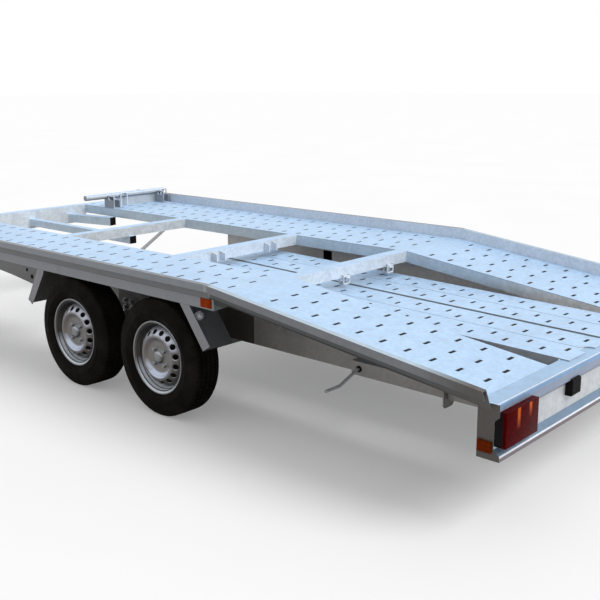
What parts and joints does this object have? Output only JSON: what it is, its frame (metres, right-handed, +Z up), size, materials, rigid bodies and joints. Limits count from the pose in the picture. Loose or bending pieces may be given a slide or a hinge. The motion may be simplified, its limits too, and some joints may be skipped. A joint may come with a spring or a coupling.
{
  "type": "twin-axle car carrier trailer",
  "caption": "Open twin-axle car carrier trailer: two perforated tracks with a sloping tail, cross beams, stored ramps, drawbar with ball coupling and jockey wheel.",
  "frame": {"origin": "on the ground under the centre of the whole trailer's bounding box", "axes": "+X forward along the drawbar, +Y to the left, +Z up"},
  "size_m": [6.164, 2.122, 0.857],
  "materials": {
    "galvanised": "hot-dip galvanised steel with a fine spangle",
    "galvanised_dull": "weathered hot-dip galvanised steel",
    "rim_silver": "silver painted steel",
    "tyre_rubber": "smooth black rubber",
    "bellows_rubber": "matt black rubber",
    "lamp_red": "red lens in a black housing",
    "lamp_amber": "amber lens",
    "plastic_black": "black plastic",
    "cast_steel": "zinc plated steel"
  },
  "bodies": {
    "frame": {"axle_front": "galvanised_dull", "axle_rear": "galvanised_dull", "beam_fittings": "galvanised", "chassis_rail_left": "galvanised", "chassis_rail_right": "galvanised", "coupling_head": "cast_steel", "cross_beam_crest": "galvanised", "cross_beam_front": "galvanised", "cross_beam_second": "galvanised", "cross_beam_third": "galvanised", "deck_brace": "galvanised", "drawbar_left": "galvanised", "drawbar_nose": "galvanised", "drawbar_right": "galvanised", "handbrake_lever": "cast_steel", "jockey_clamp": "galvanised", "jockey_column": "galvanised", "overrun_bellows": "bellows_rubber", "overrun_housing": "cast_steel", "plate_lamps": "plastic_black", "ramp_left": "galvanised", "ramp_rest": "galvanised", "ramp_right": "galvanised", "rear_cross_member": "galvanised", "rear_lamp_left": "lamp_red", "rear_lamp_right": "lamp_red", "side_markers": "lamp_amber", "side_rail_left": "galvanised", "side_rail_right": "galvanised", "sill_left": "galvanised", "sill_right": "galvanised", "spine_tube": "galvanised", "steady_beam": "galvanised", "steady_crank": "galvanised", "tail_lip_left": "galvanised", "tail_lip_right": "galvanised", "tail_tubes": "galvanised", "track_sheet_flat_left": "galvanised", "track_sheet_flat_right": "galvanised", "track_sheet_tail_left": "galvanised", "track_sheet_tail_right": "galvanised", "tube_caps": "plastic_black", "wheel_guard_front_left": "galvanised", "wheel_guard_front_right": "galvanised", "wheel_guard_rear_left": "galvanised", "wheel_guard_rear_right": "galvanised", "wheel_stop_left": "galvanised", "wheel_stop_right": "galvanised"},
    "wheel_front_left": {"tyre_front_left": "tyre_rubber", "rim_front_left": "rim_silver"},
    "wheel_front_right": {"tyre_front_right": "tyre_rubber", "rim_front_right": "rim_silver"},
    "wheel_rear_left": {"tyre_rear_left": "tyre_rubber", "rim_rear_left": "rim_silver"},
    "wheel_rear_right": {"tyre_rear_right": "tyre_rubber", "rim_rear_right": "rim_silver"},
    "jockey_leg": {"jockey_leg": "galvanised"},
    "jockey_fork": {"jockey_fork": "galvanised"},
    "jockey_wheel": {"jockey_tyre": "tyre_rubber", "jockey_hub": "rim_silver"}
  },
  "joints": [
    {"name": "wheel_front_left_spin", "type": "hinge", "parent": "frame", "child": "wheel_front_left", "pos_m": [-0.509, 0.942, 0.294], "axis": [0, 1, 0], "continuous": true},
    {"name": "wheel_front_right_spin", "type": "hinge", "parent": "frame", "child": "wheel_front_right", "pos_m": [-0.509, -0.942, 0.294], "axis": [0, 1, 0], "continuous": true},
    {"name": "wheel_rear_left_spin", "type": "hinge", "parent": "frame", "child": "wheel_rear_left", "pos_m": [-1.201, 0.942, 0.294], "axis": [0, 1, 0], "continuous": true},
    {"name": "wheel_rear_right_spin", "type": "hinge", "parent": "frame", "child": "wheel_rear_right", "pos_m": [-1.201, -0.942, 0.294], "axis": [0, 1, 0], "continuous": true},
    {"name": "jockey_leg_slide", "type": "slide", "parent": "frame", "child": "jockey_leg", "axis": [0, 0, 1], "range_m": [0, 0.165]},
    {"name": "jockey_fork_swivel", "type": "hinge", "parent": "jockey_leg", "child": "jockey_fork", "pos_m": [2.45, 0.182, 0.238], "axis": [0, 0, 1], "continuous": true},
    {"name": "jockey_wheel_spin", "type": "hinge", "parent": "jockey_fork", "child": "jockey_wheel", "pos_m": [2.416, 0.182, 0.1], "axis": [0, 1, 0], "continuous": true}
  ]
}
